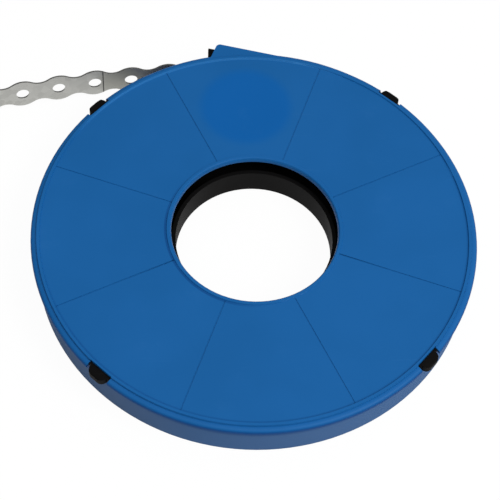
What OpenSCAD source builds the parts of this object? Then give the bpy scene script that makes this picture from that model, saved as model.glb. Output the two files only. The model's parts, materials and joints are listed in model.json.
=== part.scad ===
// Perforated steel strap in a round dispenser case.
// The strap is wound against the case's outer wall, leaves the winding along a tangent
// and comes out of a spout. The case is a moulded cover over a moulded base, held by four snap hooks.
// Millimetres, +Z up. The origin is on the case's axis, on the floor.

/* [Cover] */
// Outer radius of the case, at its rim
case_r = 106; // [98:0.5:116]
// Height of the case
case_h = 23.6; // [23:0.1:30]
// How far the rim stands out over the wall
rim_over = 1.8; // [1:0.1:2.2]
// Thickness of the cover's outer wall
wall = 2; // [1.6:0.1:2.6]
// Thickness of the cover's top
top_t = 1.6; // [1.4:0.1:2]
// Radius of the hole through the cover's top
hole_r = 39.7; // [38:0.1:44]
// Width of the rim from its outer edge to the top panel
rim_w = 4.5; // [4.2:0.1:7]
// Height of the rim's bead above the top panel
rim_step = 0.6; // [0.4:0.1:1.2]
// Height of the rim's bead above its rounded shoulder
shoulder_drop = 0.5; // [0.3:0.1:0.7]
// Radius of the rim's rounded shoulder
rim_round = 2.6; // [1.6:0.1:2.9]
// Width of the sunk lip round the hole
lip_w = 2.4; // [1.5:0.1:5]
// Depth of the lip below the top panel
lip_step = 0.6; // [0.2:0.1:1]
// Radius of the lip's rounded edge
lip_round = 1; // [0.4:0.1:1.4]
// Number of radial grooves in the top panel
groove_n = 8; // [4:1:16]
// Width of a radial groove
groove_w = 0.6; // [0.4:0.1:1.6]
// Depth of a radial groove
groove_d = 0.6; // [0.2:0.1:1]
// Radius of the round thumb dish in the top panel
dish_r = 23; // [12:0.5:26]
// Depth of the thumb dish
dish_d = 0.8; // [0.3:0.1:1.2]

/* [Spout] */
// Angle round the case at which the spout leaves it
spout_a = 73.9; // [68:0.1:82]
// Length of the spout along its straight outer face
spout_l = 43; // [38:0.1:48]
// Thickness of the spout's outer wall
spout_wall = 2; // [1.6:0.1:2.2]
// Depth of the spout's top below the rim's bead
spout_drop = 0.7; // [0.6:0.1:1.2]
// Radius of the corner at the spout's mouth
spout_round = 2; // [0.8:0.1:2.4]
// Slant of the spout's mouth
mouth_skew = 7; // [0:0.5:12]

/* [Base] */
// Thickness of the base plate
base_t = 1.6; // [1.4:0.1:2.4]
// Depth of the rebate in the cover's wall that takes the base plate
rebate = 1; // [0.6:0.1:1.3]
// Inner radius of the hub
hub_r = 37.6; // [34:0.1:39]
// Thickness of the hub's wall
hub_wall = 2; // [1.2:0.1:3]
// Height of the hub
hub_h = 13.8; // [8:0.1:18]
// Thickness of the strap guide in the spout
guide_t = 1.1; // [0.9:0.1:1.4]
// How far the strap guide stands out of the spout's mouth
guide_out = 3.6; // [1:0.1:5]
// Clearance between the base and the cover
fit_gap = 0.15; // [0.1:0.05:0.3]

/* [Hooks] */
// Angles round the case at which the snap hooks stand
hook_angles = [46, 134.5, 224.3, 315.8];
// Width of a snap hook's nose
hook_w = 9.8; // [6:0.1:14]
// Thickness of a hook's arm
hook_t = 1.8; // [1.4:0.1:2.4]
// How far a hook's nose stands out of the rim
hook_out = 1.5; // [0.8:0.1:3]
// Height of a hook's nose
nose_h = 3.8; // [3:0.1:5]
// Depth of a hook's top below the rim's bead
nose_drop = 1.3; // [0.8:0.1:1.6]
// Height of the upright face at a nose's tip
tip_h = 3.2; // [1:0.1:3.6]
// Radius of the two upright corners of a nose
nose_round = 2.9; // [0.5:0.1:3]
// Room on each side of a hook's nose in its notch
notch_side = 1.6; // [0.4:0.1:2]

/* [Strap] */
// Room between the strap's upper edge and the cover's top, which sets the strap's width
strap_head = 2.1; // [1.5:0.1:3]
// Room between the strap's upper edge and the rim's lower edge
rim_gap = 0.6; // [0.5:0.1:0.8]
// Thickness of the strap
strap_t = 0.8; // [0.6:0.1:1]
// Depth of the hollows in the strap's wavy edges
waist_d = 2.9; // [2:0.1:3.4]
// Distance from hole to hole along the strap
strap_pitch = 18.5; // [17:0.1:20]
// Diameter of the strap's holes
strap_hole_d = 6.5; // [4:0.1:8]
// Length of strap that is wound in the case
wound_l = 9840; // [5000:20:11000]
// Room between two turns of the winding
turn_gap = 0.12; // [0.08:0.01:0.2]
// Depth of the lines between the turns on the winding's two ends
turn_line = 0.5; // [0.2:0.1:1]
// Room between the winding and the hooks' arms
wind_gap = 0.3; // [0.2:0.1:1]
// Height of the strap's edge above the base plate
strap_lift = 0.1; // [0.05:0.05:0.5]

/* [Tail] */
// Number of holes in the free tail
tail_holes = 8; // [6:1:12]
// Distance from the winding to the tail's first hole
first_hole = 30.4; // [22:0.1:34]
// Distance from the case's wall to the tail's middle where the tail passes it
tail_gap = 1.1; // [1:0.1:2]
// Lean of the tail away from the case
lean_a = 2.5; // [0:0.5:4]
// Length of the bend in the spout's mouth
bend_l = 12; // [8:0.5:16]
// Angle of the bend in the spout's mouth
bend_a = 23.7; // [18:0.1:28]
// Length of tail from the bend to the crease
span_l = 58.3; // [38:0.1:66]
// Angle by which that length turns back
sag_a = 3.3; // [0:0.1:6]
// Length of the crease
crease_l = 0.8; // [0.5:0.1:2]
// Angle of the crease
crease_a = 3.4; // [0.5:0.1:6]
// Angle by which the tail curls from the crease to its end
curl_a = 6.6; // [0:0.1:10]

/* [Hidden] */
$fn = 96;

// Overlap that lets a cut pass clear of a face
cut = 1;
arc_steps = 6;
blue = [0.09, 0.35, 0.60];
black = [0.07, 0.07, 0.07];
steel = [0.62, 0.63, 0.62];

// Levels of the cover, from the top down
panel_z = case_h - rim_step;
shoulder_z = case_h - shoulder_drop;
under_z = panel_z - top_t;
lip_z = panel_z - lip_step;
lip_under_z = lip_z - top_t;
spout_z = case_h - spout_drop;
// The wall keeps this much under the top, over the windows and the spout's channel
lintel = 0.6;
open_z = under_z - lintel;

// Radii of the cover
rim_in_r = case_r - rim_w;
wall_r = case_r - rim_over;
wall_in_r = wall_r - wall;
rebate_r = wall_in_r + rebate;
lip_r = hole_r + lip_w;
dish_at = (lip_r + rim_in_r) / 2;
// The slant of the small steps in the top, which lets the cover leave its mould
step_slant = 0.3;

// The spout's face lies this much inside the wall's radius, so that it crosses the wall
spout_in = 0.05;
mouth_slope = tan(mouth_skew);
// The mouth meets the case's wall at this distance along the spout
mouth_x = spout_l + round_y(spout_l, wall_r) * mouth_slope;
// The spout's plan ends inside the wall, clear of the rebate
root_r = wall_r - wall / 3;
root_steps = 12;
// The channel through the wall starts this far along the spout, and the strap's guide after it
channel_start = 6;
guide_start = 16;
// The channel reaches this far in from the spout's face, clear through the wall
channel_in = round_y(mouth_x, wall_in_r) + cut;

// The hooks' arms stand just inside the wall, and their noses pass through windows in it
arm_out_r = wall_in_r - fit_gap;
arm_in_r = arm_out_r - hook_t;
arm_top = open_z - fit_gap;
tip_r = case_r + hook_out;
nose_top = case_h - nose_drop;
notch_z = nose_top - nose_h;
notch_w = hook_w + 2 * notch_side;
// The notch in the rim over each window goes this deep into the wall
notch_in = 1.5;
notch_r = wall_r - notch_in;
// A hook's arm and shelf fill the window, and its nose stands out of the shelf
arm_w = notch_w - 2 * fit_gap;
corner_r = min(nose_round, 0.9 * (tip_r - wall_r));
// The chamfer on the nose's upper edge is this wide
nose_bevel = 0.65;

// The winding fills the room inside the hooks' arms
wind_r = arm_in_r - wind_gap;
turn_pitch = strap_t + turn_gap;
turns = floor((wind_r - sqrt(wind_r * wind_r - wound_l * turn_pitch / PI)) / turn_pitch);
wind_in_r = wind_r - turns * turn_pitch + turn_gap;
strap_z = base_t + strap_lift;
strap_w = under_z - strap_head - strap_z;
strap_mid_z = strap_z + strap_w / 2;
// The rim's lower edge keeps clear of the strap
rim_z = strap_z + strap_w + rim_gap;

// The tail starts a little inside the outermost turn
tail_in = 0.15;
tail_r = wind_r - strap_t / 2 - tail_in;
tail_l = first_hole + (tail_holes - 0.5) * strap_pitch;
// The straight run through the spout, which takes the bend clear of the wall
bend_r = bend_l / (bend_a * PI / 180);
run_l = (wall_r + tail_gap - tail_r * cos(bend_a)) / sin(bend_a) - bend_r * tan(bend_a / 2);
last_l = tail_l - run_l - bend_l - span_l - crease_l;
// Each run of the tail: its length, how far it turns towards the case, and the steps of its bend
RUNS = [
    [run_l, 0, 1],
    [bend_l, bend_a, 12],
    [span_l, -sag_a, 8],
    [crease_l, crease_a, 1],
    [last_l, curl_a, 8],
];

// The strap's wavy edge: a lobe round each hole and a hollow between two holes, which meet smoothly
lobe_r = strap_w / 2;
waist_h = lobe_r - waist_d;
half_pitch = strap_pitch / 2;
// From: distance between the two centres = lobe_r + hollow_r
hollow_r = (half_pitch * half_pitch + waist_h * waist_h - lobe_r * lobe_r) / (2 * (lobe_r - waist_h));
hollow_h = waist_h + hollow_r;
meet_x = half_pitch - half_pitch * lobe_r / (lobe_r + hollow_r);
// A lobe's top is flat over twice this length
lobe_flat = 0.8;
wave_steps = 16;

// Points of an arc about [x, y]
function arc(x, y, r, from, to) =
    [for (i = [0:arc_steps]) let (a = from + (to - from) * i / arc_steps) [x + r * cos(a), y + r * sin(a)]];

// Distance from the spout's face to a circle round the case's axis, at x along the spout
function round_y(x, r) = wall_r - sqrt(r * r - x * x);

// Half width of the strap at a distance x from a waist
function wave(x) = abs(x) < meet_x
    ? hollow_h - sqrt(hollow_r * hollow_r - x * x)
    : sqrt(lobe_r * lobe_r - pow(half_pitch - abs(x), 2));

// Point at a distance along a run, in the frame of its start
function on_run(run, s) = run[1] == 0
    ? [s, 0]
    : let (r = run[0] / (run[1] * PI / 180), a = run[1] * s / run[0]) [r * sin(a), r * (1 - cos(a))];

// A plane vector turned by an angle
function turned(v, a) = [v.x * cos(a) - v.y * sin(a), v.x * sin(a) + v.y * cos(a)];

// Points of one face of the tail in plan, at a distance from its middle, run after run
function face(off, i = 0, p = [0, 0], a = 0) = i == len(RUNS)
    ? [p + turned([0, off], a)]
    : let (run = RUNS[i]) concat(
        [for (k = [0:run[2] - 1]) let (f = k / run[2])
            p + turned(on_run(run, f * run[0]), a) + turned([0, off], a + f * run[1])],
        face(off, i + 1, p + turned(on_run(run, run[0]), a), a + run[1])
    );

function reversed(v) = [for (i = [len(v) - 1:-1:0]) v[i]];

// Frame of the spout: X along its face, Y towards the case's axis
module at_spout() {
    rotate(spout_a + 90)
        translate([0, -wall_r, 0])
            children();
}

// Frame of each hook: X outwards
module at_hooks() {
    for (a = hook_angles)
        rotate(a)
            children();
}

// Section of the cover, turned about the case's axis
module cover_section() {
    polygon(concat(
        [[rebate_r, 0], [wall_r, 0], [wall_r, rim_z], [case_r, rim_z]],
        arc(case_r - rim_round, shoulder_z - rim_round, rim_round, 0, 90),
        [
            [case_r - rim_round - step_slant, case_h],
            [rim_in_r + step_slant, case_h],
            [rim_in_r, panel_z],
            [lip_r, panel_z],
            [lip_r - step_slant, lip_z],
        ],
        arc(hole_r + lip_round, lip_z - lip_round, lip_round, 90, 180),
        [
            [hole_r, lip_under_z],
            [lip_r + step_slant, lip_under_z],
            [lip_r + step_slant, under_z],
            [wall_in_r, under_z],
            [wall_in_r, base_t],
            [rebate_r, base_t],
        ]
    ));
}

// Plan of the spout, with its rounded corner at the mouth
module spout_plan() {
    polygon(concat(
        [[0, spout_in]],
        arc(spout_l - spout_round, spout_in + spout_round, spout_round, -90, -mouth_skew),
        [for (i = [root_steps:-1:0]) let (x = mouth_x * i / root_steps) [x, round_y(x, root_r)]]
    ));
}

// Plan of the strap's way through the wall and out of the mouth
module channel_plan() {
    near_y = spout_in + spout_wall;
    polygon([
        [channel_start, near_y],
        [spout_l + near_y * mouth_slope + fit_gap, near_y],
        [spout_l + channel_in * mouth_slope + fit_gap, channel_in],
        [channel_start, channel_in],
    ]);
}

module case_cover() {
    color(blue)
    difference() {
        union() {
            rotate_extrude()
                cover_section();
            at_spout()
                linear_extrude(spout_z)
                    spout_plan();
        }
        at_spout()
            translate([0, 0, -cut])
                linear_extrude(open_z + cut)
                    channel_plan();
        at_hooks()
            rotate([90, 0, 0])
                linear_extrude(notch_w, center = true)
                    window_section();
        for (i = [0:groove_n - 1])
            rotate((i + 0.5) * 360 / groove_n)
                translate([lip_r - cut, -groove_w / 2, panel_z - groove_d])
                    cube([rim_in_r - lip_r + cut, groove_w, groove_d + cut]);
        thumb_dish();
    }
}

// Section of the window for a hook's nose, with the notch in the rim over it
module window_section() {
    out_r = case_r + cut;
    top_z = case_h + cut;
    in_r = wall_in_r - cut;
    polygon([
        [in_r, notch_z],
        [out_r, notch_z],
        [out_r, top_z],
        [notch_r, top_z],
        [notch_r, open_z],
        [in_r, open_z],
    ]);
}

// Ball whose cap is the thumb dish
module thumb_dish() {
    ball_r = (dish_r * dish_r + dish_d * dish_d) / (2 * dish_d);
    translate([0, dish_at, panel_z - dish_d + ball_r])
        sphere(ball_r);
}

// Snap hook: an arm up the inside of the wall, a shelf in the window, and a round nose
module hook() {
    nose_in_r = notch_r + fit_gap;
    section = [
        [arm_in_r, 0],
        [arm_out_r, 0],
        [arm_out_r, notch_z],
        [tip_r, notch_z],
        [tip_r, notch_z + tip_h],
        [tip_r - nose_bevel, nose_top],
        [nose_in_r, nose_top],
        [nose_in_r, arm_top],
        [arm_in_r, arm_top],
    ];
    corner_y = hook_w / 2 - corner_r;
    plan = concat(
        [[arm_in_r, -arm_w / 2], [wall_r, -arm_w / 2], [wall_r, -hook_w / 2]],
        arc(tip_r - corner_r, -corner_y, corner_r, -90, 0),
        arc(tip_r - corner_r, corner_y, corner_r, 0, 90),
        [[wall_r, hook_w / 2], [wall_r, arm_w / 2], [arm_in_r, arm_w / 2]]
    );
    intersection() {
        rotate([90, 0, 0])
            linear_extrude(arm_w + 2 * cut, center = true)
                polygon(section);
        linear_extrude(case_h)
            polygon(plan);
    }
}

// Floor of the spout, and the guide that keeps the strap off the spout's wall
module spout_floor() {
    near_y = spout_in + spout_wall + fit_gap;
    start_x = channel_start + fit_gap;
    guide_end = spout_l + near_y * mouth_slope + guide_out;
    linear_extrude(base_t)
        polygon([
            [start_x, near_y],
            [spout_l + near_y * mouth_slope, near_y],
            [spout_l + channel_in * mouth_slope, channel_in],
            [start_x, channel_in],
        ]);
    translate([guide_start, near_y, 0])
        cube([guide_end - guide_start, guide_t, open_z - fit_gap]);
}

module case_base() {
    color(black)
    difference() {
        union() {
            cylinder(h = base_t, r = rebate_r - fit_gap);
            cylinder(h = hub_h, r = hub_r + hub_wall);
            at_hooks()
                hook();
            at_spout()
                spout_floor();
        }
        translate([0, 0, -cut])
            cylinder(h = hub_h + 2 * cut, r = hub_r);
    }
}

// Section of the winding: turns side by side on a core that is a little narrower
module winding_section() {
    translate([wind_in_r, turn_line])
        square([wind_r - wind_in_r, strap_w - 2 * turn_line]);
    for (i = [0:turns - 1])
        translate([wind_in_r + i * turn_pitch, 0])
            square([strap_t, strap_w]);
}

// Frame at a distance along the tail: X along the strap, Y through it
module along(s, i = 0) {
    run = RUNS[i];
    if (s > run[0] && i < len(RUNS) - 1)
        translate(on_run(run, run[0]))
            rotate(run[1])
                along(s - run[0], i + 1)
                    children();
    else
        translate(on_run(run, s))
            rotate(run[1] * s / run[0])
                children();
}

// Cutter for the hollow in one edge of the strap, at a waist
module hollow() {
    reach = half_pitch - lobe_flat;
    side = reach + lobe_flat / 2;
    above = lobe_r + cut;
    rotate([90, 0, 0])
        linear_extrude(12 * strap_t, center = true)
            polygon(concat(
                [[-side, above], [-side, lobe_r + lobe_flat / 8]],
                [for (i = [0:wave_steps]) let (x = reach * (2 * i / wave_steps - 1)) [x, wave(x)]],
                [[side, lobe_r + lobe_flat / 8], [side, above]]
            ));
}

// The free tail, in the frame of its start
module tail() {
    difference() {
        linear_extrude(strap_w, center = true)
            polygon(concat(face(-strap_t / 2), reversed(face(strap_t / 2))));
        for (i = [0:tail_holes - 1])
            along(first_hole + i * strap_pitch)
                rotate([90, 0, 0])
                    cylinder(h = 12 * strap_t, d = strap_hole_d, center = true);
        for (i = [0:tail_holes])
            along(first_hole + (i - 0.5) * strap_pitch)
                for (side = [0, 180])
                    rotate([side, 0, 0])
                        hollow();
    }
}

module strap() {
    color(steel) {
        translate([0, 0, strap_z])
            rotate_extrude()
                winding_section();
        rotate(spout_a + 90)
            translate([0, -tail_r, strap_mid_z])
                rotate([lean_a, 0, 0])
                    tail();
    }
}

case_cover();
case_base();
strap();
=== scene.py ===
"""Looks of a perforated steel strap in its round dispenser case.

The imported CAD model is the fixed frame. Each of its pieces is copied, its corners are rounded as
far as its narrow faces allow, and the copy is dressed in a procedural finish. A small studio with
a pale floor shows the object from the photograph's angle.
"""

from __future__ import annotations

import json
import logging
import math
from abc import ABC, abstractmethod
from dataclasses import dataclass
from enum import Enum

import bmesh
import bpy
from mathutils import Matrix, Vector

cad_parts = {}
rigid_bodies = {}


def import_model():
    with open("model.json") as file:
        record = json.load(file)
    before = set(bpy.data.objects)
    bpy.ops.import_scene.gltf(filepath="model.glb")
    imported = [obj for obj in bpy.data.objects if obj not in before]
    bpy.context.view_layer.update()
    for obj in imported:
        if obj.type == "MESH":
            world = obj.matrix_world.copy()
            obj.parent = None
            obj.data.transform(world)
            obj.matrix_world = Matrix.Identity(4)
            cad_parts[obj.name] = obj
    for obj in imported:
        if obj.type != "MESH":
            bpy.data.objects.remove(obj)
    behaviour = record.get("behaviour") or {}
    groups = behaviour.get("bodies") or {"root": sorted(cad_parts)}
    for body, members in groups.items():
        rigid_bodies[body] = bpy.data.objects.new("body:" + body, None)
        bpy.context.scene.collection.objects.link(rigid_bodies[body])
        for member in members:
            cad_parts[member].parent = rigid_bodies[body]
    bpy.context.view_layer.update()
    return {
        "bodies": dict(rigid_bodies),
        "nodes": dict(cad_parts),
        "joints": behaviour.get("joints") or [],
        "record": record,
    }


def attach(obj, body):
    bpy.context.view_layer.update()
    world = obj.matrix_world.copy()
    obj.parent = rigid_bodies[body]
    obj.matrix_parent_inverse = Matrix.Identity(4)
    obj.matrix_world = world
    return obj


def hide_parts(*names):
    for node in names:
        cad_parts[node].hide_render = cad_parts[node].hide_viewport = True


LOG = logging.getLogger("strap_case")
MM = 0.001
BODY = "root"
WHITE = (1.0, 1.0, 1.0, 1.0)
UPWARDS = (0.0, 0.0, 1.0)

# A point that is multiplied by this loses its height
NO_HEIGHT = (1.0, 1.0, 0.0)

# Places of a Mix node's factor and two colours among its inputs, and of the mixed colour
MIX_INPUTS = (0, 6, 7)
MIX_RESULT = 2

# Cosines below every real one, for a zone that is full all round
ALL_ROUND = (-3.0, -2.0)

# The case's outer wall starts here, counted from its axis
WALL_R = 103.9 * MM

Colour = tuple[float, float, float, float]
Point = tuple[float, float, float]
Socket = bpy.types.NodeSocket


class Slot(Enum):
    """The record's material slots."""

    BLUE_PLASTIC = "blue_plastic"
    BLACK_PLASTIC = "black_plastic"
    GALVANISED_STEEL = "galvanised_steel"


@dataclass
class Graph:
    """A node tree, with short calls to add and join its nodes.

    Attributes:
        tree: The tree of a material, a group or a world.
    """

    tree: bpy.types.NodeTree

    def add(self, kind: str, **settings: object) -> bpy.types.Node:
        """Adds a node and sets its properties.

        Args:
            kind: The node's type, without its leading ShaderNode or Node.
            settings: Properties of the node, by name.

        Returns:
            The new node.
        """
        prefix = "Node" if kind.startswith("Group") and kind != "Group" else "ShaderNode"
        node = self.tree.nodes.new(prefix + kind)
        for key, value in settings.items():
            setattr(node, key, value)
        return node

    def join(self, source: Socket, target: Socket) -> None:
        """Links an output socket to an input socket."""
        self.tree.links.new(source, target)

    def give(self, target: Socket, value: object) -> None:
        """Links an input socket or sets its value.

        Args:
            target: The input socket.
            value: A socket to link, or a value to set.
        """
        if isinstance(value, bpy.types.NodeSocket):
            self.join(value, target)
        else:
            target.default_value = value

    def feed(self, node: bpy.types.Node, **inputs: object) -> bpy.types.Node:
        """Sets or links a node's inputs.

        Args:
            node: The node whose inputs are fed.
            inputs: Socket names, with _ for a space, and either a socket to link or a value.

        Returns:
            The same node.
        """
        for key, value in inputs.items():
            self.give(node.inputs[key.replace("_", " ")], value)
        return node

    def ramp(
        self, value: Socket, low: float, high: float, to_low: float = 0.0, to_high: float = 1.0
    ) -> Socket:
        """Maps a value smoothly from one range to another.

        Args:
            value: The value to map.
            low: Start of its range.
            high: End of its range.
            to_low: Result at the start.
            to_high: Result at the end.

        Returns:
            The mapped value.
        """
        node = self.add("MapRange", interpolation_type="SMOOTHSTEP")
        self.feed(node, Value=value, From_Min=low, From_Max=high, To_Min=to_low, To_Max=to_high)
        return node.outputs["Result"]

    def math(self, operation: str, *values: object) -> Socket:
        """Adds a math node.

        Args:
            operation: The operation's name.
            values: Sockets or numbers, in the order of the node's inputs.

        Returns:
            The result.
        """
        node = self.add("Math", operation=operation)
        for target, value in zip(node.inputs, values):
            self.give(target, value)
        return node.outputs["Value"]

    def vector(self, operation: str, *values: object) -> Socket:
        """Adds a vector math node.

        Args:
            operation: The operation's name.
            values: Sockets or vectors, in the order of the node's inputs.

        Returns:
            The result, a vector or a number.
        """
        node = self.add("VectorMath", operation=operation)
        for target, value in zip(node.inputs, values):
            self.give(target, value)
        single = operation in ("DISTANCE", "LENGTH", "DOT_PRODUCT")
        return node.outputs["Value" if single else "Vector"]

    def mix(self, factor: object, first: object, second: object) -> Socket:
        """Mixes two colours.

        Args:
            factor: Share of the second colour.
            first: A colour or a socket.
            second: A colour or a socket.

        Returns:
            The mixed colour.
        """
        node = self.add("Mix", data_type="RGBA")
        for index, value in zip(MIX_INPUTS, (factor, first, second)):
            self.give(node.inputs[index], value)
        return node.outputs[MIX_RESULT]


class SharedEffects:
    """The effects that several finishes use, each a node group that is built once.

    Attributes:
        grain: Fine grain and slow waves of a surface.
        marks: Rubbed patches and thin scratches.
    """

    # Share of the fine grain in the height and in the tone
    FINE_HEIGHT = 0.35
    FINE_TONE = 0.3

    # Noise levels between which a patch or a scratch comes up
    PATCH_LEVELS = (0.56, 0.80)
    SCRATCH_LEVELS = (0.70, 0.76)

    # Direction and stretch of the scratches, and their strength beside the patches
    SCRATCH_TURN = (0.0, 0.0, 0.6)
    SCRATCH_STRETCH = (1.0, 14.0, 6.0)
    SCRATCH_SHARE = 0.6

    def __init__(self) -> None:
        """Builds every group."""
        self.grain = self._grain()
        self.marks = self._marks()

    @staticmethod
    def _start(
        name: str, inputs: dict[str, float], outputs: tuple[str, ...]
    ) -> tuple[Graph, bpy.types.Node, bpy.types.Node]:
        """Makes an empty group that reads a vector.

        Args:
            name: The group's name.
            inputs: Its number inputs and their usual values.
            outputs: Its number outputs.

        Returns:
            The group's graph, its input node and its output node.
        """
        tree = bpy.data.node_groups.new(name, "ShaderNodeTree")
        tree.interface.new_socket("Vector", in_out="INPUT", socket_type="NodeSocketVector")
        for key, value in inputs.items():
            socket = tree.interface.new_socket(key, in_out="INPUT", socket_type="NodeSocketFloat")
            socket.default_value = value
        for key in outputs:
            tree.interface.new_socket(key, in_out="OUTPUT", socket_type="NodeSocketFloat")
        graph = Graph(tree)
        return graph, graph.add("GroupInput"), graph.add("GroupOutput")

    def _grain(self) -> bpy.types.NodeTree:
        """The fine grain and slow waves of a moulded or rolled surface.

        Returns:
            A group with a height for bump and a tone around 0.5.
        """
        usual = {"Grain Scale": 2500.0, "Wave Scale": 40.0}
        graph, given, result = self._start("surface_grain", usual, ("Height", "Tone"))
        place = given.outputs["Vector"]
        fine = graph.add("TexNoise")
        scale = given.outputs["Grain Scale"]
        graph.feed(fine, Vector=place, Scale=scale, Detail=3.0, Roughness=0.6)
        slow = graph.add("TexNoise")
        scale = given.outputs["Wave Scale"]
        graph.feed(slow, Vector=place, Scale=scale, Detail=2.0, Roughness=0.5)
        height = graph.math("MULTIPLY_ADD", fine.outputs[0], self.FINE_HEIGHT, slow.outputs[0])
        waves = graph.math("MULTIPLY", slow.outputs[0], 1.0 - self.FINE_TONE)
        tone = graph.math("MULTIPLY_ADD", fine.outputs[0], self.FINE_TONE, waves)
        graph.feed(result, Height=height, Tone=tone)
        return graph.tree

    def _marks(self) -> bpy.types.NodeTree:
        """Rubbed patches and thin scratches from handling.

        Returns:
            A group with a mask from 0, untouched, to 1, fully rubbed.
        """
        usual = {"Scale": 60.0, "Amount": 0.3}
        graph, given, result = self._start("handling_marks", usual, ("Mask",))
        place, scale = given.outputs["Vector"], given.outputs["Scale"]
        patch = graph.add("TexNoise")
        graph.feed(patch, Vector=place, Scale=scale, Detail=6.0, Roughness=0.65)
        stretch = graph.add("Mapping")
        graph.feed(
            stretch, Vector=place, Rotation=self.SCRATCH_TURN, Scale=self.SCRATCH_STRETCH,
        )
        line = graph.add("TexNoise")
        graph.feed(line, Vector=stretch.outputs["Vector"], Scale=scale, Detail=2.0, Roughness=0.4)
        rubbed = graph.ramp(patch.outputs[0], *self.PATCH_LEVELS)
        scratched = graph.ramp(line.outputs[0], *self.SCRATCH_LEVELS)
        both = graph.math("MAXIMUM", rubbed, graph.math("MULTIPLY", scratched, self.SCRATCH_SHARE))
        graph.feed(result, Mask=graph.math("MULTIPLY", both, given.outputs["Amount"]))
        return graph.tree


@dataclass(frozen=True, kw_only=True)
class Zone(ABC):
    """A place on a piece where its colour and roughness differ, for its finish or for painted
    light and shade.

    Attributes:
        colour: The colour there, as linear values.
        rougher: How much is added to the roughness there.
    """

    colour: Colour
    rougher: float

    @abstractmethod
    def mask(self, graph: Graph, place: Socket) -> Socket:
        """Adds the zone's mask.

        Args:
            graph: The material's graph.
            place: The object coordinates.

        Returns:
            A value from 0, outside, to 1, inside.
        """

    def lay(
        self, graph: Graph, place: Socket, colour: Socket, rough: Socket
    ) -> tuple[Socket, Socket]:
        """Lays the zone over a finish.

        Args:
            graph: The material's graph.
            place: The object coordinates.
            colour: The finish's colour.
            rough: The finish's roughness.

        Returns:
            The new colour and the new roughness.
        """
        inside = self.mask(graph, place)
        change = graph.math("MULTIPLY", inside, self.rougher)
        return graph.mix(inside, colour, self.colour), graph.math("ADD", rough, change)


@dataclass(frozen=True, kw_only=True)
class RoundSpot(Zone):
    """A round place whose colour and roughness differ, such as a face that a mould left smoother
    or a spot of painted shade.

    Attributes:
        centre: Its middle, in metres.
        radius: Its radius, in metres.
        soft: Width of its soft edge, in metres.
    """

    centre: Point
    radius: float
    soft: float

    def mask(self, graph: Graph, place: Socket) -> Socket:
        """Adds the mask of a ball round the spot's middle."""
        away = graph.vector("DISTANCE", place, self.centre)
        return graph.ramp(away, self.radius - self.soft, self.radius, 1.0, 0.0)


@dataclass(frozen=True, kw_only=True)
class RoundZone(Zone):
    """A zone that is laid round the axis of a case, and may fade out on one side.

    Attributes:
        radius: Its distance from the axis, in metres.
        soft: Width of its soft edge, in metres.
        side: Direction from the axis to the middle of its strong side.
        fade: Cosines of the angles from there at which it has ended and at which it is full.
    """

    radius: float
    soft: float
    side: Point = (1.0, 0.0, 0.0)
    fade: tuple[float, float] = ALL_ROUND

    def away(self, graph: Graph, place: Socket) -> Socket:
        """Adds the distance from the axis."""
        return graph.vector("LENGTH", graph.vector("MULTIPLY", place, NO_HEIGHT))

    def share(self, graph: Graph, place: Socket) -> Socket:
        """Adds the zone's strength on each side of the axis."""
        outwards = graph.vector("NORMALIZE", graph.vector("MULTIPLY", place, NO_HEIGHT))
        return graph.ramp(graph.vector("DOT_PRODUCT", outwards, self.side), *self.fade)


@dataclass(frozen=True, kw_only=True)
class PaintedWallBand(RoundZone):
    """A band of a round case's outer wall whose colour carries painted shade and painted
    reflections, and which is rougher.

    Attributes:
        top: Height of its upper edge, in metres.
    """

    top: float

    def mask(self, graph: Graph, place: Socket) -> Socket:
        """Adds the mask of all that lies outside the radius and below the upper edge.

        Args:
            graph: The material's graph.
            place: The object coordinates.

        Returns:
            A value from 0, outside, to 1, inside.
        """
        outside = graph.ramp(self.away(graph, place), self.radius - self.soft, self.radius)
        height = graph.vector("DOT_PRODUCT", place, UPWARDS)
        below = graph.ramp(height, self.top - self.soft, self.top, 1.0, 0.0)
        wall = graph.math("MULTIPLY", outside, below)
        return graph.math("MULTIPLY", wall, self.share(graph, place))


@dataclass(frozen=True, kw_only=True)
class RingLine(RoundZone):
    """A line round a case beside a raised edge, where a shadow or a highlight is painted into the
    colour.

    Attributes:
        half_width: Half its width, in metres.
    """

    half_width: float

    def mask(self, graph: Graph, place: Socket) -> Socket:
        """Adds the mask of all that lies near the radius.

        Args:
            graph: The material's graph.
            place: The object coordinates.

        Returns:
            A value from 0, outside, to 1, inside.
        """
        past = graph.math("SUBTRACT", self.away(graph, place), self.radius)
        aside = graph.math("ABSOLUTE", past)
        line = graph.ramp(aside, self.half_width - self.soft, self.half_width, 1.0, 0.0)
        return graph.math("MULTIPLY", line, self.share(graph, place))


@dataclass(frozen=True, kw_only=True)
class FoldLine(Zone):
    """A line across a strap where it was once folded, painted dark as the fold's shade.

    Attributes:
        centre: The line's middle, in metres.
        along: Direction of the strap there.
        half_width: Half the line's width, in metres.
        soft: Width of its soft edge, in metres.
        reach: The line's ends are this far from its middle, in metres.
    """

    centre: Point
    along: Point
    half_width: float
    soft: float
    reach: float

    def mask(self, graph: Graph, place: Socket) -> Socket:
        """Adds the mask of a thin slice near the line's middle.

        Args:
            graph: The material's graph.
            place: The object coordinates.

        Returns:
            A value from 0, outside, to 1, inside.
        """
        offset = graph.vector("SUBTRACT", place, self.centre)
        aside = graph.math("ABSOLUTE", graph.vector("DOT_PRODUCT", offset, self.along))
        line = graph.ramp(aside, self.half_width - self.soft, self.half_width, 1.0, 0.0)
        near = graph.math("LESS_THAN", graph.vector("LENGTH", offset), self.reach)
        return graph.math("MULTIPLY", line, near)


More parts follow.
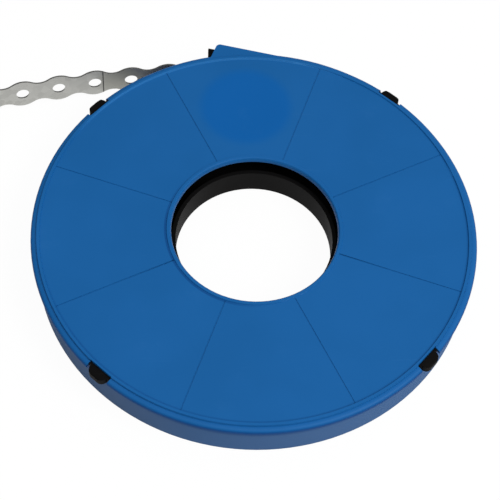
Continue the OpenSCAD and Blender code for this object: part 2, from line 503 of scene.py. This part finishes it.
@dataclass(frozen=True, kw_only=True)
class CutEdges(Zone):
    """The sheared edges of a strap that stands on its edge, painted darker for bare steel and for
    the shade along its top edge.

    Attributes:
        slopes: Upright part of a face's normal at which the zone starts and at which it is full.
    """

    slopes: tuple[float, float] = (0.45, 0.75)

    def mask(self, graph: Graph, place: Socket) -> Socket:
        """Adds the mask of all faces that look up or down.

        Args:
            graph: The material's graph.
            place: The object coordinates, which this zone doesn't need.

        Returns:
            A value from 0, outside, to 1, inside.
        """
        facing = graph.add("NewGeometry").outputs["Normal"]
        upright = graph.math("ABSOLUTE", graph.vector("DOT_PRODUCT", facing, UPWARDS))
        return graph.ramp(upright, *self.slopes)


class Finish(ABC):
    """A surface finish that makes its own material."""

    @staticmethod
    def start(name: str) -> tuple[bpy.types.Material, Graph, bpy.types.Node, Socket]:
        """Makes a material with an empty principled shader.

        Args:
            name: The material's name.

        Returns:
            The material, its graph, its shader and the object coordinates.
        """
        material = bpy.data.materials.new(name)
        material.use_nodes = True
        material.node_tree.nodes.clear()
        graph = Graph(material.node_tree)
        shader = graph.add("BsdfPrincipled")
        graph.join(shader.outputs["BSDF"], graph.add("OutputMaterial").inputs["Surface"])
        return material, graph, shader, graph.add("TexCoord").outputs["Object"]

    @staticmethod
    def effect(graph: Graph, tree: bpy.types.NodeTree, **inputs: object) -> bpy.types.Node:
        """Places a shared effect in a material, with the material's own values."""
        return graph.feed(graph.add("Group", node_tree=tree), **inputs)

    @abstractmethod
    def build(self, effects: SharedEffects) -> bpy.types.Material:
        """Makes the material.

        Args:
            effects: The shared node groups.

        Returns:
            The material.
        """


@dataclass(frozen=True)
class MouldedPlastic(Finish):
    """Injection-moulded plastic with a fine grain.

    Attributes:
        name: Name of the material.
        colour: The plastic's colour, as linear values.
        deep: The colour in its darker flow streaks.
        rubbed: The colour where it is rubbed.
        roughness: Roughness of the untouched skin.
        specular: Strength of the mirror-like part.
        rub_amount: How much it is rubbed.
        zones: Places where it differs.
        bump: Depth of the grain, in metres.
        bump_strength: Share of that depth that shows.
        grain_scale: How fine the grain is.
        wave_scale: How fine the flow streaks are.
        mark_scale: How fine the rubbed patches are.
        streak_tones: Tones of the grain between which the streaks turn into the colour.
        skin_tones: Tones of the grain between which the roughness changes.
        skin_change: How much the roughness changes each way.
        rub_change: How much rougher a rubbed place is.
    """

    name: str
    colour: Colour
    deep: Colour
    rubbed: Colour
    roughness: float
    specular: float
    rub_amount: float
    zones: tuple[Zone, ...] = ()
    bump: float = 0.03 * MM
    bump_strength: float = 0.5
    grain_scale: float = 2600.0
    wave_scale: float = 26.0
    mark_scale: float = 55.0
    streak_tones: tuple[float, float] = (0.35, 0.65)
    skin_tones: tuple[float, float] = (0.3, 0.7)
    skin_change: float = 0.04
    rub_change: float = 0.15

    def build(self, effects: SharedEffects) -> bpy.types.Material:
        """Makes the material.

        Args:
            effects: The shared node groups.

        Returns:
            The material.
        """
        material, graph, shader, place = self.start(self.name)
        grain = self.effect(
            graph, effects.grain, Vector=place,
            Grain_Scale=self.grain_scale, Wave_Scale=self.wave_scale,
        )
        marks = self.effect(
            graph, effects.marks, Vector=place, Scale=self.mark_scale, Amount=self.rub_amount,
        )
        tone, mask = grain.outputs["Tone"], marks.outputs["Mask"]
        body = graph.mix(graph.ramp(tone, *self.streak_tones), self.deep, self.colour)
        dull, sleek = self.roughness + self.skin_change, self.roughness - self.skin_change
        skin = graph.ramp(tone, *self.skin_tones, dull, sleek)
        for zone in self.zones:
            body, skin = zone.lay(graph, place, body, skin)
        colour = graph.mix(mask, body, self.rubbed)
        rough = graph.math("MULTIPLY_ADD", mask, self.rub_change, skin)
        bump = graph.add("Bump")
        height = grain.outputs["Height"]
        graph.feed(bump, Strength=self.bump_strength, Distance=self.bump, Height=height)
        graph.feed(shader, Base_Color=colour, Roughness=rough, Normal=bump.outputs["Normal"])
        graph.feed(shader, Specular_IOR_Level=self.specular)
        return material


@dataclass(frozen=True)
class GalvanisedSteel(Finish):
    """Dull zinc-coated strip steel.

    Attributes:
        name: Name of the material.
        light: Colour of the lighter zinc crystals.
        dark: Colour of the darker zinc crystals.
        roughness: Roughness of the zinc skin.
        zones: Places where it differs.
        bump: Depth of the zinc's crystals, in metres.
        bump_strength: Share of that depth that shows.
        grain_scale: How fine the grain is.
        wave_scale: How fine the slow waves are.
        mark_scale: How fine the rubbed patches are.
        rub_amount: How much it is rubbed.
        rub_change: How much rougher a rubbed place is, so it is smoother here.
        crystal_scale: How fine the crystals are.
        crystal_share: Share of the crystals in the shade, beside the grain.
    """

    name: str
    light: Colour
    dark: Colour
    roughness: float
    zones: tuple[Zone, ...] = ()
    bump: float = 0.02 * MM
    bump_strength: float = 0.4
    grain_scale: float = 1800.0
    wave_scale: float = 120.0
    mark_scale: float = 120.0
    rub_amount: float = 0.4
    rub_change: float = -0.12
    crystal_scale: float = 260.0
    crystal_share: float = 0.55

    def build(self, effects: SharedEffects) -> bpy.types.Material:
        """Makes the material.

        Args:
            effects: The shared node groups.

        Returns:
            The material.
        """
        material, graph, shader, place = self.start(self.name)
        grain = self.effect(
            graph, effects.grain, Vector=place,
            Grain_Scale=self.grain_scale, Wave_Scale=self.wave_scale,
        )
        marks = self.effect(
            graph, effects.marks, Vector=place, Scale=self.mark_scale, Amount=self.rub_amount,
        )
        crystal = graph.add("TexVoronoi", feature="F1")
        graph.feed(crystal, Vector=place, Scale=self.crystal_scale, Randomness=1.0)
        cell = graph.feed(graph.add("SeparateColor"), Color=crystal.outputs["Color"])
        rest = graph.math("MULTIPLY", grain.outputs["Tone"], 1.0 - self.crystal_share)
        shade = graph.math("MULTIPLY_ADD", cell.outputs["Red"], self.crystal_share, rest)
        colour = graph.mix(shade, self.dark, self.light)
        mask = marks.outputs["Mask"]
        rough = graph.math("MULTIPLY_ADD", mask, self.rub_change, self.roughness)
        for zone in self.zones:
            colour, rough = zone.lay(graph, place, colour, rough)
        bump = graph.add("Bump")
        height = grain.outputs["Height"]
        graph.feed(bump, Strength=self.bump_strength, Distance=self.bump, Height=height)
        graph.feed(shader, Base_Color=colour, Roughness=rough, Normal=bump.outputs["Normal"])
        graph.feed(shader, Metallic=1.0)
        return material


def blue_plastic() -> MouldedPlastic:
    """The cover's plastic, rougher on its wall and smooth in its thumb dish, with painted shade,
    shadows, reflections and a highlight on its wall, bead and lip.

    Returns:
        The finish.
    """
    # Painted shade: the wall just below the rim's overhang is painted darker.
    painted_shade_below_rim = PaintedWallBand(
        colour=(0.0017, 0.060, 0.226, 1.0), rougher=0.1,
        radius=WALL_R, soft=1.2 * MM, top=22.2 * MM,
    )
    # Painted reflection: the lower wall is painted greyer for the pale floor's reflection, and is
    # also rougher.
    painted_wall_reflection = PaintedWallBand(
        colour=(0.056, 0.136, 0.305, 1.0), rougher=0.15,
        radius=WALL_R, soft=3.0 * MM, top=16.6 * MM,
    )
    # Painted reflection: the left end of the wall is painted paler and greyer, and is also
    # rougher.
    painted_left_wall_reflection = PaintedWallBand(
        colour=(0.085, 0.150, 0.285, 1.0), rougher=0.1,
        radius=WALL_R, soft=3.0 * MM, top=16.6 * MM,
        side=(-0.94, -0.34, 0.0), fade=(0.55, 0.97),
    )
    # Painted shadow: a soft dark line inside the rim's bead, on the front side.
    painted_shadow_at_bead = RingLine(
        colour=(0.0044, 0.086, 0.280, 1.0), rougher=0.1,
        radius=101.3 * MM, soft=0.6 * MM, half_width=0.8 * MM,
        side=(0.34, -0.94, 0.0), fade=(-0.3, 0.3),
    )
    # Painted highlight: the bead is painted lighter on the back side, where its face is lit.
    painted_highlight_on_bead = RingLine(
        colour=(0.022, 0.155, 0.410, 1.0), rougher=0.0,
        radius=101.6 * MM, soft=0.4 * MM, half_width=0.6 * MM,
        side=(-0.225, 0.974, 0.0), fade=(0.7, 0.9),
    )
    # Painted shadow: a soft dark line outside the hole's lip, on the left side.
    painted_shadow_at_lip = RingLine(
        colour=(0.0030, 0.066, 0.235, 1.0), rougher=0.1,
        radius=42.5 * MM, soft=0.5 * MM, half_width=0.8 * MM,
        side=(-0.906, -0.423, 0.0), fade=(0.3, 0.9),
    )
    # The mould left the thumb dish smoother; its darker, bluer colour also paints in the lack of
    # the panel's sheen.
    thumb_dish = RoundSpot(
        colour=(0.0012, 0.0985, 0.346, 1.0), rougher=-0.1,
        centre=(0.0, 71.8 * MM, 23.0 * MM), radius=25.6 * MM, soft=6.5 * MM,
    )
    return MouldedPlastic(
        name="blue_plastic",
        colour=(0.0070, 0.1065, 0.330, 1.0),
        deep=(0.0058, 0.0995, 0.308, 1.0),
        rubbed=(0.030, 0.150, 0.400, 1.0),
        roughness=0.45,
        specular=0.1,
        rub_amount=0.12,
        zones=(
            painted_shade_below_rim, painted_wall_reflection, painted_left_wall_reflection,
            painted_shadow_at_bead, painted_highlight_on_bead, painted_shadow_at_lip, thumb_dish,
        ),
    )


def black_plastic() -> MouldedPlastic:
    """The base's plastic, dull and the same all over.

    Returns:
        The finish.
    """
    return MouldedPlastic(
        name="black_plastic",
        colour=(0.0040, 0.0038, 0.0038, 1.0),
        deep=(0.0028, 0.0027, 0.0027, 1.0),
        rubbed=(0.016, 0.014, 0.013, 1.0),
        roughness=0.6,
        specular=0.05,
        rub_amount=0.3,
    )


def galvanised_steel() -> GalvanisedSteel:
    """The strap's steel, with its darkened cut edges, and painted shade before and along the
    crease in its tail.

    Returns:
        The finish.
    """
    # Painted shade: the strap is painted darker before the crease, near the case.
    painted_shade_before_crease = RoundSpot(
        colour=(0.385, 0.383, 0.346, 1.0), rougher=0.05,
        centre=(-63.0 * MM, 99.3 * MM, 11.6 * MM), radius=13.5 * MM, soft=7.0 * MM,
    )
    # Faces looking up or down are painted darker: bare steel at the cut edges, and painted shade
    # along the top edge.
    cut_edges = CutEdges(colour=(0.17, 0.17, 0.16, 1.0), rougher=0.1)
    # Painted shade: a dark line across the strap at its crease.
    crease = FoldLine(
        colour=(0.10, 0.10, 0.095, 1.0), rougher=0.1,
        centre=(-70.98 * MM, 98.49 * MM, 11.57 * MM), along=(-0.9944, -0.1042, 0.0164),
        half_width=0.4 * MM, soft=0.2 * MM, reach=10.5 * MM,
    )
    return GalvanisedSteel(
        name="galvanised_steel",
        light=(0.515, 0.515, 0.487, 1.0),
        dark=(0.40, 0.40, 0.378, 1.0),
        roughness=0.45,
        zones=(painted_shade_before_crease, cut_edges, crease),
    )


@dataclass
class CadPiece:
    """A piece that takes its shape from a CAD node, with its corners rounded.

    All corners of a piece are rounded alike, and its narrowest face limits by how much.

    Attributes:
        node: The CAD node's name.
        name: The piece's own name.
        slot: The record's slot that belongs to it, which is not used.
        corner: Largest radius of its rounded corners, in metres.
        segments: Steps of a rounded corner.
        corner_angle: Angle between two faces above which their edge is a corner.
        room: The edges beside a corner are longer than this many times its radius.
        same_point: Points of the node nearer than this are one point.
        short_edge: Edges shorter than this are closed up before the corners are rounded.
        lost_corner: Rounded corners narrower than this are closed up again.
        flat_angle: Angle between two faces below which they become one.
        soft_angle: Angle between two faces below which they are shaded as one.
    """

    node: str
    name: str
    slot: Slot
    corner: float
    segments: int = 2
    corner_angle: float = math.radians(50.0)
    room: float = 2.0
    same_point: float = 0.01 * MM
    short_edge: float = 0.085 * MM
    lost_corner: float = 0.006 * MM
    flat_angle: float = math.radians(0.05)
    soft_angle: float = math.radians(35.0)

    def is_corner(self, edge: bmesh.types.BMEdge) -> bool:
        """Whether an edge gets a rounded corner."""
        return edge.calc_face_angle(0.0) > self.corner_angle

    def has_room(self, edge: bmesh.types.BMEdge) -> bool:
        """Whether the edges beside a corner are long enough to round it."""
        beside = (other for vert in edge.verts for other in vert.link_edges)
        return all(other.calc_length() > self.room * self.corner for other in beside)

    def refine(self, bm: bmesh.types.BMesh) -> None:
        """Works over the merged mesh before its corners are rounded."""

    def round_corners(self, bm: bmesh.types.BMesh) -> None:
        """Rounds the corners that have room for it.

        Args:
            bm: The piece's mesh.
        """
        corners = [edge for edge in bm.edges if self.is_corner(edge) and self.has_room(edge)]
        bmesh.ops.bevel(
            bm, geom=corners, offset=self.corner, offset_type="OFFSET", segments=self.segments,
            profile=0.5, affect="EDGES", clamp_overlap=True, material=-1,
        )
        bmesh.ops.remove_doubles(bm, verts=bm.verts, dist=self.lost_corner)

    def shape(self, frame: dict) -> bpy.types.Mesh:
        """Makes the piece's mesh from its CAD node.


        Returns:
            The finished mesh.
        """
        source = frame["nodes"][self.node].data.copy()
        # The node's own normals don't fit the mesh once it is worked over
        for layer in [each for each in source.attributes if each.name == "custom_normal"]:
            source.attributes.remove(layer)
        bm = bmesh.new()
        bm.from_mesh(source)
        bpy.data.meshes.remove(source)
        bmesh.ops.remove_doubles(bm, verts=bm.verts, dist=self.same_point)
        self.refine(bm)
        bmesh.ops.remove_doubles(bm, verts=bm.verts, dist=self.short_edge)
        bmesh.ops.dissolve_limit(
            bm, angle_limit=self.flat_angle, use_dissolve_boundaries=False,
            verts=bm.verts, edges=bm.edges,
        )
        self.round_corners(bm)
        for face in bm.faces:
            face.smooth = True
            face.material_index = 0
        for edge in bm.edges:
            edge.smooth = edge.calc_face_angle(0.0) < self.soft_angle
        mesh = bpy.data.meshes.new(self.name)
        bm.to_mesh(mesh)
        bm.free()
        return mesh

    def build(self, frame: dict, finish: bpy.types.Material) -> bpy.types.Object:
        """Makes the piece and puts it in the place of its CAD node.

        Args:
            finish: The material that it wears.

        Returns:
            The finished piece.
        """
        mesh = self.shape(frame)
        mesh.materials.append(finish)
        piece = bpy.data.objects.new(self.name, mesh)
        bpy.context.scene.collection.objects.link(piece)
        weighted = piece.modifiers.new("flat faces stay flat", "WEIGHTED_NORMAL")
        weighted.keep_sharp = True
        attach(piece, BODY)
        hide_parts(self.node)
        return piece


@dataclass
class Cover(CadPiece):
    """The moulded cover, with the crowned lip, low shoulder and shallow grooves of its mould.

    Attributes:
        panel_z: Height of the top panel, in metres.
        groove_count: Number of radial grooves.
        groove_half: No part of a groove is further than this from its middle line.
        groove_depth: Depth of a groove.
        groove_gap: A groove ends this far outside the lip.
        groove_cut: Points nearer than this to the cut at a groove's end lie on it.
        lip_r: Radius at which the lip starts.
        lip_edge: Points nearer than this to that radius stay where they are.
        lip_flat_r: Outer radius of the lip's flat.
        lip_flat_edge: Points nearer than this to the flat's outer radius belong to it.
        lip_low_z: Height at which the lip's rounding ends in the hole.
        lip_flat_z: Height of the lip's flat in the solid.
        lip_top_z: Height of the crowned lip.
        shoulder_r: Inner radius of the rim's rounded shoulder.
        shoulder_low_z: Height at which the shoulder's rounding ends.
        shoulder_high_z: Height of the shoulder in the solid.
        shoulder_drop: How much lower the shoulder lies.
        spout_from: Angle round the case at which the spout starts, in radians.
        spout_to: Angle at which it ends.
        spout_fade: The shoulder keeps its height this far round from the spout.
    """

    panel_z: float = 23.0 * MM
    groove_count: int = 8
    groove_half: float = 0.35 * MM
    groove_depth: float = 0.3 * MM
    groove_gap: float = 0.3 * MM
    groove_cut: float = 0.001 * MM
    lip_r: float = 42.1 * MM
    lip_edge: float = 0.05 * MM
    lip_flat_r: float = 41.8 * MM
    lip_flat_edge: float = 0.02 * MM
    lip_low_z: float = 21.4 * MM
    lip_flat_z: float = 22.4 * MM
    lip_top_z: float = 23.45 * MM
    shoulder_r: float = 103.3 * MM
    shoulder_low_z: float = 20.5 * MM
    shoulder_high_z: float = 23.1 * MM
    shoulder_drop: float = 0.6 * MM
    spout_from: float = math.radians(68.0)
    spout_to: float = math.radians(102.0)
    spout_fade: float = math.radians(9.0)

    def refine(self, bm: bmesh.types.BMesh) -> None:
        """Makes the grooves shallow, crowns the lip and lowers the shoulder.

        Args:
            bm: The cover's mesh.
        """
        for index in range(self.groove_count):
            self._groove(bm, (index + 0.5) * math.tau / self.groove_count)
        for vert in bm.verts:
            away = vert.co.xy.length
            if away < self.lip_r - self.lip_edge and vert.co.z > self.lip_low_z:
                vert.co.z = self._crowned(away, vert.co.z)
            elif away > self.shoulder_r and vert.co.z > self.shoulder_low_z:
                vert.co.z -= self._lowering(vert.co)

    def _groove(self, bm: bmesh.types.BMesh, angle: float) -> None:
        """Makes one groove shallow, and ends it at the lip.

        Args:
            bm: The cover's mesh.
            angle: The groove's angle round the case.
        """
        along = Vector((math.cos(angle), math.sin(angle), 0.0))

        def inside(vert: bmesh.types.BMVert) -> bool:
            """Whether a point belongs to the groove, beyond the lip."""
            reach = vert.co.dot(along)
            aside = (vert.co.xy - along.xy * reach).length
            high = vert.co.z > self.lip_low_z
            return reach > self.lip_r and aside < self.groove_half and high

        faces = {face for vert in bm.verts if inside(vert) for face in vert.link_faces}
        edges = {edge for face in faces for edge in face.edges}
        verts = {vert for face in faces for vert in face.verts}
        bmesh.ops.bisect_plane(
            bm, geom=[*verts, *edges, *faces], dist=self.groove_cut,
            plane_co=along * (self.lip_r + self.groove_gap), plane_no=along,
        )
        bottom = self.panel_z - self.groove_depth
        for vert in bm.verts:
            if inside(vert) and vert.co.z < bottom:
                vert.co.z = bottom

    def _crowned(self, away: float, height: float) -> float:
        """Gives the new height of a point on the lip.

        Args:
            away: Its distance from the axis.
            height: Its height in the solid.

        Returns:
            Its height on the crowned lip.
        """
        rise = self.lip_top_z - self.panel_z
        if away > self.lip_flat_r + self.lip_flat_edge:
            return self.panel_z + rise * (self.lip_r - away) / (self.lip_r - self.lip_flat_r)
        stretch = (self.lip_top_z - self.lip_low_z) / (self.lip_flat_z - self.lip_low_z)
        return self.lip_low_z + (height - self.lip_low_z) * stretch

    def _lowering(self, point: Vector) -> float:
        """Gives how much lower a point of the shoulder lies.

        Args:
            point: The point in the solid.

        Returns:
            The difference in height.
        """
        angle = math.atan2(point.y, point.x)
        past = max(self.spout_from - angle, angle - self.spout_to)
        share = min(max(past / self.spout_fade, 0.0), 1.0)
        part = (point.z - self.shoulder_low_z) / (self.shoulder_high_z - self.shoulder_low_z)
        return self.shoulder_drop * share * part * part


@dataclass
class Strap(CadPiece):
    """The strap, whose free tail has punched edges and whose winding stays as it is.

    Attributes:
        winding_r: The winding lies inside this radius, and the free tail outside it.
    """

    winding_r: float = 101.2 * MM

    def is_corner(self, edge: bmesh.types.BMEdge) -> bool:
        """Whether an edge is a punched edge of the free tail."""
        free = all(vert.co.xy.length > self.winding_r for vert in edge.verts)
        return free and super().is_corner(edge)


@dataclass(frozen=True)
class Lamp:
    """A square soft light that looks at the object.

    Attributes:
        name: Its name.
        place: Where it hangs, in metres.
        power: Its power, in watts.
        size: Its side, in metres.
    """

    name: str
    place: Point
    power: float
    size: float

    def build(self) -> None:
        """Makes the light and turns it towards the origin."""
        data = bpy.data.lights.new(self.name, "AREA")
        data.energy = self.power
        data.size = self.size
        lamp = bpy.data.objects.new(self.name, data)
        lamp.location = self.place
        lamp.rotation_euler = (-lamp.location).to_track_quat("-Z", "Y").to_euler()
        bpy.context.scene.collection.objects.link(lamp)


@dataclass
class Studio:
    """The floor, the light and the camera.

    Attributes:
        floor_radius: Radius of the floor, in metres.
        floor_sides: Number of its sides.
        floor_drop: How far the floor lies below the object, so that their faces don't meet.
        shadow: Share of the floor's own light and shade that the camera sees.
        bounce: Colour of the floor for the light that it throws back on the object.
        sky_axis: Direction of the room's brightest part.
        sky_full: Cosine of the angle from there within which the light is full.
        sky_light: Light from that direction.
        horizon_light: Light from the dim side of the room.
        lamps: The soft lights.
        azimuth: The camera's angle round the object, from the front.
        elevation: The camera's angle above the floor.
        roll: The camera's roll.
        target: The point in the middle of the image, in millimetres.
        distance: From the target to the camera, in millimetres.
        lens: Focal length, in millimetres.
        sensor: Width of the camera's sensor, in millimetres.
        near: Nothing nearer to the camera than this is seen, in metres.
    """

    floor_radius: float = 4.0
    floor_sides: int = 96
    floor_drop: float = 0.1 * MM
    shadow: float = 0.045
    bounce: float = 0.55
    sky_axis: Point = (0.44, -0.21, 0.873)
    sky_full: float = 0.9
    sky_light: float = 0.85
    horizon_light: float = 0.21
    lamps: tuple[Lamp, ...] = (
        Lamp("key_light", place=(0.80, -0.58, 1.18), power=9.8, size=0.6),
        Lamp("fill_light", place=(-0.15, -0.50, 1.40), power=3.0, size=0.6),
    )
    azimuth: float = math.radians(-6.71)
    elevation: float = math.radians(58.43)
    roll: float = math.radians(3.80)
    target: Point = (-1.432, 1.455, 0.785)
    distance: float = 769.72
    lens: float = 113.855
    sensor: float = 36.0
    near: float = 0.01

    def floor(self) -> None:
        """Makes the pale floor."""
        bm = bmesh.new()
        bmesh.ops.create_circle(
            bm, cap_ends=True, segments=self.floor_sides, radius=self.floor_radius,
        )
        bmesh.ops.translate(bm, verts=bm.verts, vec=(0.0, 0.0, -self.floor_drop))
        mesh = bpy.data.meshes.new("floor")
        bm.to_mesh(mesh)
        bm.free()
        mesh.materials.append(self._floor_paint())
        floor = bpy.data.objects.new("floor", mesh)
        bpy.context.scene.collection.objects.link(floor)

    def _floor_paint(self) -> bpy.types.Material:
        """Makes the floor's material, white to the eye and in reflections, with a light shadow.

        Returns:
            The material.
        """
        material = bpy.data.materials.new("pale_floor")
        material.use_nodes = True
        material.node_tree.nodes.clear()
        graph = Graph(material.node_tree)
        grey = (self.bounce, self.bounce, self.bounce, 1.0)
        paint = graph.feed(graph.add("BsdfDiffuse"), Color=WHITE)
        dull = graph.feed(graph.add("BsdfDiffuse"), Color=grey)
        glow = graph.feed(graph.add("Emission"), Color=WHITE, Strength=1.0)
        rays = graph.add("LightPath").outputs
        shown = graph.math("MAXIMUM", rays["Is Camera Ray"], rays["Is Glossy Ray"])
        shown = graph.math("MAXIMUM", shown, rays["Is Transmission Ray"])
        seen = self._blend(graph, self.shadow, glow, paint)
        final = self._blend(graph, shown, dull, seen)
        graph.join(final.outputs[0], graph.add("OutputMaterial").inputs["Surface"])
        return material

    @staticmethod
    def _blend(
        graph: Graph, factor: object, first: bpy.types.Node, second: bpy.types.Node
    ) -> bpy.types.Node:
        """Mixes two shaders.

        Args:
            graph: The material's graph.
            factor: Share of the second shader, a socket or a number.
            first: A shader node.
            second: A shader node.

        Returns:
            The node that mixes them.
        """
        node = graph.add("MixShader")
        for target, value in zip(node.inputs, (factor, first.outputs[0], second.outputs[0])):
            graph.give(target, value)
        return node

    def room(self) -> None:
        """Lights the room: brightest above and to the right, and dim towards the other side."""
        world = bpy.data.worlds.new("room")
        bpy.context.scene.world = world
        world.use_nodes = True
        world.node_tree.nodes.clear()
        graph = Graph(world.node_tree)
        outwards = graph.add("TexCoord").outputs["Generated"]
        towards = graph.vector("DOT_PRODUCT", outwards, self.sky_axis)
        level = graph.ramp(towards, 0.0, self.sky_full, self.horizon_light, self.sky_light)
        back = graph.feed(graph.add("Background"), Color=WHITE, Strength=level)
        graph.join(back.outputs[0], graph.add("OutputWorld").inputs["Surface"])

    def camera(self) -> None:
        """Sets the camera at the photograph's angle."""
        flat = math.cos(self.elevation)
        across, ahead = math.sin(self.azimuth), math.cos(self.azimuth)
        back = Vector((across * flat, -ahead * flat, math.sin(self.elevation)))
        level = Vector((ahead, across, 0.0))
        upright = back.cross(level)
        right = math.cos(self.roll) * level + math.sin(self.roll) * upright
        up = back.cross(right)
        data = bpy.data.cameras.new("photo_camera")
        data.lens = self.lens
        data.sensor_width = self.sensor
        data.clip_start = self.near
        camera = bpy.data.objects.new("photo_camera", data)
        place = (Vector(self.target) + self.distance * back) * MM
        turn = Matrix((right, up, back)).transposed().to_4x4()
        camera.matrix_world = Matrix.Translation(place) @ turn
        bpy.context.scene.collection.objects.link(camera)
        bpy.context.scene.camera = camera

    def build(self) -> None:
        """Makes the whole studio."""
        self.camera()
        self.floor()
        self.room()
        for lamp in self.lamps:
            lamp.build()
        bpy.context.scene.view_settings.view_transform = "Standard"


def main() -> None:
    """Builds every piece around the CAD frame."""
    logging.basicConfig(level=logging.INFO, format="%(name)s: %(message)s")
    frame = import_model()
    Studio().build()
    effects = SharedEffects()
    cover = Cover("case_cover", "cover", Slot.BLUE_PLASTIC, corner=0.12 * MM)
    base = CadPiece("case_base", "base", Slot.BLACK_PLASTIC, corner=0.22 * MM)
    strap = Strap("strap", "steel_strap", Slot.GALVANISED_STEEL, corner=0.10 * MM)
    for piece, finish in (
        (cover, blue_plastic()),
        (base, black_plastic()),
        (strap, galvanised_steel()),
    ):
        made = piece.build(frame, finish.build(effects))
        LOG.info("%s: %d faces", made.name, len(made.data.polygons))


if __name__ == "__main__":
    main()
